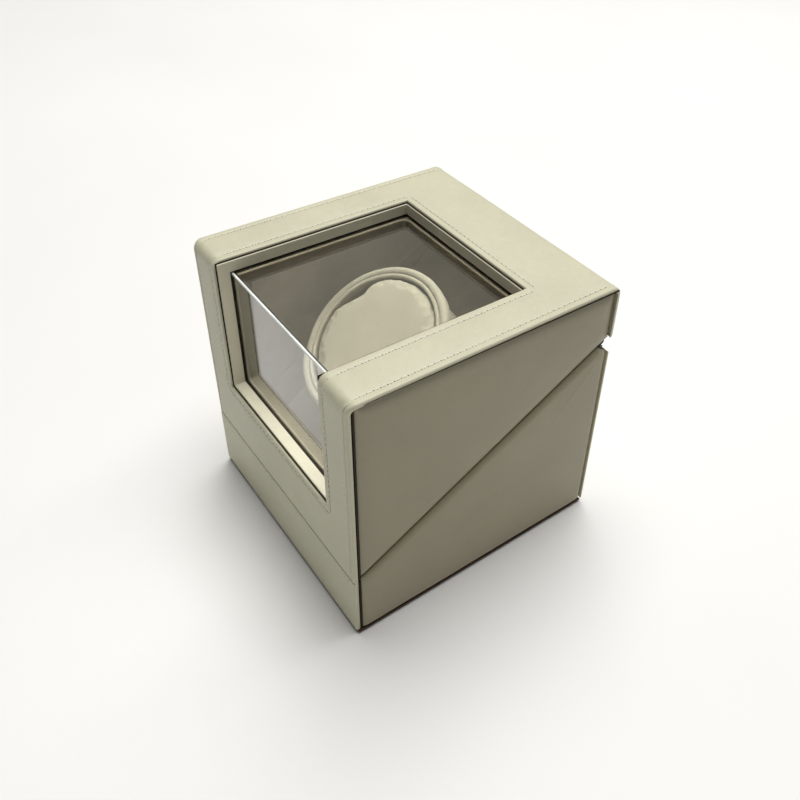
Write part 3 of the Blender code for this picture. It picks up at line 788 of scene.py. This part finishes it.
def strip(name, outline, side, body, inner, outer):
    """A near-black prism of a Y-Z outline, painted shade for a gap. inner and outer give its ends' x at a
    point of the outline.
    """
    bm = bmesh.new()
    capped(bm, [[bm.verts.new((side * x(y, z), y, z)) for y, z in outline] for x in (inner, outer)])
    piece(name, bm, GAP_SHADE, body, "leather", (), 40)


def joint_face(y, z):
    """How far out a side's joint reaches: less along the front, where the skin is narrower."""
    return 87.3 if z > 170 and y > -80 else 85.6


def sides():
    """Padded covers on both sides of base and lid, with a near-black strip along their front and top joints:
    painted shade for the gap there.
    """
    front, rear, roof = -85.8, 87.2, 177.6
    base = [(front, SHELL_BOTTOM), (rear, SHELL_BOTTOM), (rear, base_edge(rear) - 0.2)]
    base += [(NOTCH_START, base_edge(NOTCH_START) - 0.3), (front, base_edge(front) - 0.3)]
    lid = [(front, lid_edge(front) + 0.3), (rear, lid_edge(rear) + 0.3), (rear, roof), (front, roof)]
    ahead, behind = front - 0.65, front + 0.5
    base_gap_shade = [(ahead, SHELL_BOTTOM + 0.2), (behind, SHELL_BOTTOM + 0.2)]
    base_gap_shade += [(behind, base_edge(front) - 0.4), (ahead, base_edge(ahead) - 0.4)]
    lid_gap_shade = [(ahead, lid_edge(ahead) + 0.4), (behind, lid_edge(front) + 0.6), (behind, roof - 2.0)]
    lid_gap_shade += [(front + 2.5, roof - 0.4), (rear, roof - 0.4), (rear, roof + 0.55)]
    lid_gap_shade += [(front + 6.5, roof + 0.55), (front + 1.5, roof + 0.5), (ahead, roof - 1.5)]
    # the base's short edge at the notch has no room for a wider rounding
    halves = (("base", base, base_gap_shade, 4.6), ("lid", lid, lid_gap_shade, 12.0))
    for side, word in ((-1, "left"), (1, "right")):
        for body, shape, joint, round_edge in halves:
            padded_side(f"{body}_padded_{word}", shape, side, body, f"{body}_side_panel_{word}", round_edge)
            # near-black strip along the joint: painted shade for the gap between band and cover
            strip(f"{body}_joint_{word}", joint, side, body, lambda y, z: 83.9, joint_face)


def notch_ends():
    """Near-black strips over the raw board at both ends of the hinge notch, on the base and on the lid:
    painted shade for the dark hollow there.
    """
    front, rear = NOTCH_START + 0.4, 87.8
    for body, edge, low, high in (("base", base_edge, 0.02, 0.22), ("lid", lid_edge, -0.22, -0.02)):
        outline = [(front, edge(front) + low), (rear, edge(rear) + low)]
        outline += [(rear, edge(rear) + high), (front, edge(front) + high)]
        for side, word in ((-1, "left"), (1, "right")):
            name = f"{body}_notch_shade_strip_{word}"
            strip(name, outline, side, body, lambda y, z: 82.3, lambda y, z: 84.2)


# ---------------------------------------------------------------- drum


def velvet_ring():
    """Two velvet rolls, one over the ring's outside and a thin one at its inner edge, with small gathers."""
    steps = 288
    profile = [(41.6, 50.4), (46.0, 50.4), (48.5, 54.0)]
    for middle, level, radius, low, high in ((46.1, 58.2, 2.6, 0, 160), (42.5, 59.3, 1.3, 20, 200)):
        for degrees in range(low, high + 1, 20):
            a = math.radians(degrees)
            profile.append((middle + radius * math.cos(a), level + radius * math.sin(a)))
    bm = bmesh.new()
    loops = []
    for k in range(steps):
        a = math.tau * k / steps
        gather = noise.noise(Vector((math.cos(a) * 9, math.sin(a) * 9, 0.3)))
        fine = noise.noise(Vector((math.cos(a) * 24, math.sin(a) * 24, 2.3)))
        line = []
        for i, (r, c) in enumerate(profile):
            swell = 0.0 if i < 2 else 0.16 * gather + 0.1 * fine
            reach, level = r - swell, c + swell * 0.7 - 0.2
            line.append(bm.verts.new(DRUM @ Vector((reach * math.cos(a), reach * math.sin(a), level))))
        loops.append(line)
    bridged(bm, loops + loops[:1])
    obj = piece("drum_velvet_ring", bm, VELVET, "drum", "velvet", ("velvet_ring",), 0)


def swollen(obj, held, limit, voxel=1.6, frames=16, pressure=4.0, slack=0.03, scale=5.0):
    """Runs a piece as cloth round its filling, and keeps the shape that it takes.

    held gives how firmly a place is fixed, limit is how far a point may move, in millimetres. The cloth is
    cut larger than the filling by slack, and is run scale times its size, where the solver is at home.
    """
    grid = obj.modifiers.new("grid", "REMESH")
    grid.mode = "VOXEL"
    grid.voxel_size = voxel * MM
    apply(obj)
    start = [v.co.copy() for v in obj.data.vertices]
    work = bpy.data.objects.new("cloth_work", obj.data.copy())
    scene.collection.objects.link(work)
    work.data.transform(Matrix.Scale(scale, 4))
    pins = work.vertex_groups.new(name="held")
    for index, place in enumerate(start):
        pins.add([index], held(place), "REPLACE")
    cloth = work.modifiers.new("cloth", "CLOTH")
    cloth.settings.quality = 5
    cloth.settings.vertex_group_mass = "held"
    cloth.settings.use_pressure = True
    cloth.settings.uniform_pressure_force = pressure
    cloth.settings.shrink_min = -slack
    cloth.settings.bending_stiffness = 0.05
    cloth.settings.effector_weights.gravity = 0
    cloth.collision_settings.use_collision = False
    for frame_number in range(1, frames + 1):
        scene.frame_set(frame_number)
    made = bpy.data.meshes.new_from_object(work.evaluated_get(bpy.context.evaluated_depsgraph_get()))
    for vertex, before, after in zip(obj.data.vertices, start, made.vertices):
        move = after.co / scale - before
        if move.length > limit * MM:
            move *= limit * MM / move.length
        vertex.co = before + move
    bpy.data.objects.remove(work)
    scene.frame_set(1)
    finer = obj.modifiers.new("finer", "SUBSURF")
    finer.levels = finer.render_levels = 1
    apply(obj)
    obj.data.shade_smooth()


def cushion_outline():
    """A round pillow with a slanting nick in two sides, as evenly spaced points."""
    half = [(-39.9, 0.2), (-36.2, 7.4), (-32.8, 13.8), (-31.9, 17.4), (-31.9, 22.0), (-31.2, 25.3)]
    for degrees in range(136, 1, -5):
        angle = math.radians(degrees)
        half.append((CUSHION_RADIUS * math.cos(angle), CUSHION_RADIUS * math.sin(angle)))
    corners = [Vector(p) for p in half] + [Vector((-u, -v)) for u, v in half]
    ring = []
    for a, b in zip(corners, corners[1:] + corners[:1]):
        count = max(1, round((b - a).length / 0.9))
        ring += [a.lerp(b, k / count) for k in range(count)]
    for _ in range(3):
        ring = [(ring[k - 1] + ring[k] * 2 + ring[(k + 1) % len(ring)]) / 4 for k in range(len(ring))]
    return ring


def cushion():
    """The watch cushion: a round velvet pillow, nearly flat on top, rolled over at its edge."""
    dense = cushion_outline()
    bm = bmesh.new()
    low, high = 11.4, 61.0  # along the drum's axis
    profile = [(0.80, low), (0.88, low + 0.4), (0.93, low + 2.0), (0.95, low + 5), (0.96, 30), (0.98, 46)]
    profile.append((1.0, high - 3))
    for k in range(1, 7):
        a = math.pi / 2 * k / 6
        profile.append((1 - 0.065 * (1 - math.cos(a)), high - 3 + 2.6 * math.sin(a)))
    for t, lift in ((0.87, 0.02), (0.78, 0.1), (0.66, 0.2), (0.5, 0.3), (0.33, 0.36), (0.16, 0.4)):
        profile.append((t, high - 0.4 + lift))
    loops = [[bm.verts.new(DRUM @ Vector((p.x * size, p.y * size, c))) for p in dense] for size, c in profile]
    n = len(dense)
    bridged(bm, loops)
    bm.faces.new(loops[0])
    top = bm.verts.new(DRUM @ Vector((0, 0, high + 0.02)))
    for k in range(n):
        bm.faces.new((loops[-1][k], loops[-1][(k + 1) % n], top))
    obj = piece("watch_cushion_velvet", bm, VELVET, "cushion", "velvet", ("watch_cushion",), 0)
    back = DRUM.inverted()

    def held(place):
        """1 down in the cup, 0 on the top and its edge."""
        return 1 - smooth_step(((back @ (place / MM)).z - (high - 7)) / 4)

    swollen(obj, held, limit=1.3)


# ---------------------------------------------------------------- window


CUT_FAR = 130.0  # the cutting blocks start this far in front of the box's middle
CUT_LOW = WINDOW_SILL + 36  # the level block, for the top, starts at this height
CUT_HIGH = 210.0


def extruded(name, ring, way):
    """A solid swept from a flat ring of points along way, as a bare object for a boolean."""
    bm = bmesh.new()
    face = bm.faces.new([bm.verts.new([v * MM for v in point]) for point in ring])
    grown = bmesh.ops.extrude_face_region(bm, geom=[face])["geom"]
    moved = [g for g in grown if isinstance(g, bmesh.types.BMVert)]
    bmesh.ops.translate(bm, vec=Vector(way) * MM, verts=moved)
    bmesh.ops.recalc_face_normals(bm, faces=bm.faces)
    mesh = bpy.data.meshes.new(name)
    bm.to_mesh(mesh)
    bm.free()
    obj = bpy.data.objects.new(name, mesh)
    scene.collection.objects.link(obj)
    return obj


def opening(name, half, rear, sill, radius, steps=6):
    """What cuts the corner window: a block down through the top and one in through the front."""

    def arc(u, v, start):
        angles = [start + math.pi / 2 * k / steps for k in range(steps + 1)]
        return [(u + radius * math.cos(a), v + radius * math.sin(a)) for a in angles]

    inner = half - radius
    plan = [(half, -CUT_FAR)] + arc(inner, rear - radius, 0)
    plan += arc(-inner, rear - radius, math.pi / 2) + [(-half, -CUT_FAR)]
    face = [(half, CUT_HIGH)] + arc(inner, sill + radius, -math.pi / 2)[::-1]
    face += arc(-inner, sill + radius, math.pi)[::-1] + [(-half, CUT_HIGH)]
    return [
        extruded(f"{name}_plan", [(x, y, CUT_LOW) for x, y in plan], (0, 0, 100)),
        extruded(f"{name}_face", [(x, -CUT_FAR, z) for x, z in face], (0, CUT_FAR - 45, 0)),
    ]


def corner_band(name, look, slot, replaced, outer, depth, outside, hole, edge, segments):
    """A band over the window's corner, with its edges rounded to edge millimetres.

    outer is how far its outside lies in from the box's outside, and depth is how thick it is. outside
    is its half width, rear and sill. hole is the same for what is cut out, with a corner radius.
    """
    half, rear, sill = outside
    front, top = -HALF_DEPTH + outer, HEIGHT - outer
    outline = [(front, sill), (front, top), (rear, top), (rear, top - depth)]
    outline += [(front + depth, top - depth), (front + depth, sill)]
    body = extruded(name + "_raw", [(-half, y, z) for y, z in outline], (2 * half, 0, 0))
    tools = opening(name, *hole) if hole else []
    for tool in tools:
        cut = body.modifiers.new("cut", "BOOLEAN")
        cut.object = tool
        cut.solver = "EXACT"
    apply(body)
    for tool in tools:
        bpy.data.objects.remove(tool)
    bm = bmesh.new()
    bm.from_mesh(body.data)
    bpy.data.objects.remove(body)
    rounded(bm, edge, segments)
    bmesh.ops.scale(bm, vec=(1 / MM,) * 3, verts=bm.verts)
    return flat_normals(piece(name, bm, look, "lid", slot, replaced, 44))


def corner_bead(reach, inset):
    """A pale opaque strip along the pane's corner, its colour a painted highlight of the light on the pane's
    polished edge.
    """
    front, top = -HALF_DEPTH + inset, HEIGHT - inset
    spots = ((front, top - 1.2), (front + 0.25, top - 0.25), (front + 1.2, top), (front + 1.0, top - 1.0))
    bm = bmesh.new()
    capped(bm, [[bm.verts.new((x, y, z)) for y, z in spots] for x in (-reach, reach)])
    piece("pane_corner_highlight", bm, PANE_EDGE_HIGHLIGHT, "lid", "acrylic", (), 60)


def window():
    """Leather liner, near-black strips on both sides of it as painted shade for the gaps there, bent pane and
    dark frame with a pale lip.
    """

    def grown(by):
        """The liner's opening, larger by some millimetres: half width, rear and sill."""
        return 56.9 + by, 41.0 + by, 88.4 - by

    leather_slot, suede_slot = "liner_leather", "dark_suede"
    around, hole = grown(0.95), (*grown(-0.3), 0.6)
    replaced = ("window_liner",)
    corner_band("liner_leather_band", LINER, leather_slot, replaced, 1.9, 7.2, around, hole, 0.45, 3)
    # near-black strips at the liner's outer and inner edges: painted shade for the gaps there
    for word, outer, depth, gap in (("outer", 1.15, 0.7, 0.45), ("inner", 9.15, 0.8, 0.1)):
        hole = (*grown(gap), 0.5)
        corner_band(f"joint_strip_{word}", GAP_SHADE, leather_slot, (), outer, depth, around, hole, 0.08, 1)
    pane_outside = (62.9, 47.0, 82.4)
    pane = corner_band("bent_pane", CLEAR, "acrylic", ("window_pane",), 10.0, 2.5, pane_outside, None, 0.3, 3)
    pane.visible_shadow = False
    # pale strip on the pane's corner: painted highlight
    corner_bead(pane_outside[0], 9.95)
    hole = (*grown(-1.3), 5.0)
    replaced = ("window_frame",)
    corner_band("frame_suede_band", DARK_SUEDE, suede_slot, replaced, 12.9, 8.1, pane_outside, hole, 0.5, 3)
    hole = (*grown(-1.7), 4.6)
    corner_band("frame_lip", LIP, suede_slot, (), 12.75, 0.9, grown(-0.2), hole, 0.2, 2)


outline_over_lid = lid_path()
lid_skin(outline_over_lid)
window()
lid_stitching(outline_over_lid)
base_stitching()
sides()
notch_ends()
velvet_ring()
cushion()
softened("base_front_skin", LEATHER, "base", "leather", 1.0)
softened("base_rear_skin", LEATHER, "base", "leather", 0.5, 2, 0.985)
softened("bottom_board", DARK_BOARD, "base", "dark_board", 0.5, 2)
softened("deck_panel", SUEDE, "base", "suede", 0.5, 2)

# ---------------------------------------------------------------- camera, floor and light

WIDTH = 2 * HALF_WIDTH * MM
FLOOR_HALF = 12.0  # in metres
YAW, PITCH, ROLL = (math.radians(v) for v in (50.435, 37.467, 3.530))
EYE = Vector((1.9591, -1.3295, 2.5910)) * WIDTH  # in box widths from the box's foot
forward = Vector((-math.sin(YAW) * math.cos(PITCH), math.cos(YAW) * math.cos(PITCH), -math.sin(PITCH)))
across = Vector((math.cos(YAW), math.sin(YAW), 0))
upward = across.cross(forward)
right = math.cos(ROLL) * across + math.sin(ROLL) * upward
up = -math.sin(ROLL) * across + math.cos(ROLL) * upward
lens = bpy.data.cameras.new("camera")
lens.sensor_width = 36  # both in millimetres
lens.lens = 38.964
lens.shift_x = -0.0849
lens.shift_y = -0.0926
lens.clip_start, lens.clip_end = 0.01, 60
camera = bpy.data.objects.new("camera", lens)
camera.matrix_world = Matrix.Translation(EYE) @ Matrix((right, up, -forward)).transposed().to_4x4()
scene.collection.objects.link(camera)
scene.camera = camera

floor_mesh = bpy.data.meshes.new("floor")
bm = bmesh.new()
bmesh.ops.create_grid(bm, x_segments=1, y_segments=1, size=FLOOR_HALF)
bm.to_mesh(floor_mesh)
bm.free()
floor = bpy.data.objects.new("floor", floor_mesh)
scene.collection.objects.link(floor)
pale = Shader("pale_floor", 0.7)
pale.colour(pale.ramp(pale.noise(300, 2), (0.3, (0.9, 0.893, 0.87)), (0.7, (0.93, 0.923, 0.9))))
floor_mesh.materials.append(pale.material)

world = bpy.data.worlds.new("studio")
world.use_nodes = True
world.node_tree.nodes["Background"].inputs["Color"].default_value = (1.0, 1.0, 1.0, 1)
world.node_tree.nodes["Background"].inputs["Strength"].default_value = 0.1
scene.world = world
scene.view_settings.view_transform = "Standard"


def softbox(name, place, target, size, power, tint=(1.0, 1.0, 1.0)):
    """A rectangular lamp at a place in metres, turned to its target."""
    data = bpy.data.lights.new(name, "AREA")
    data.shape = "RECTANGLE"
    data.size, data.size_y = size
    data.energy = power
    data.color = tint
    lamp = bpy.data.objects.new(name, data)
    lamp.location = place
    lamp.rotation_mode = "QUATERNION"
    lamp.rotation_quaternion = (Vector(place) - Vector(target)).to_track_quat("Z", "Y")
    scene.collection.objects.link(lamp)


softbox("overhead", (-0.3, 0.7, 3.0), (0, 0, 0.1), (2.6, 2.6), 112)
softbox("glass_card", (-1.9, 1.6, 2.0), (0, 0, 0.17), (2.2, 1.8), 6.5, (1.0, 0.93, 0.78))
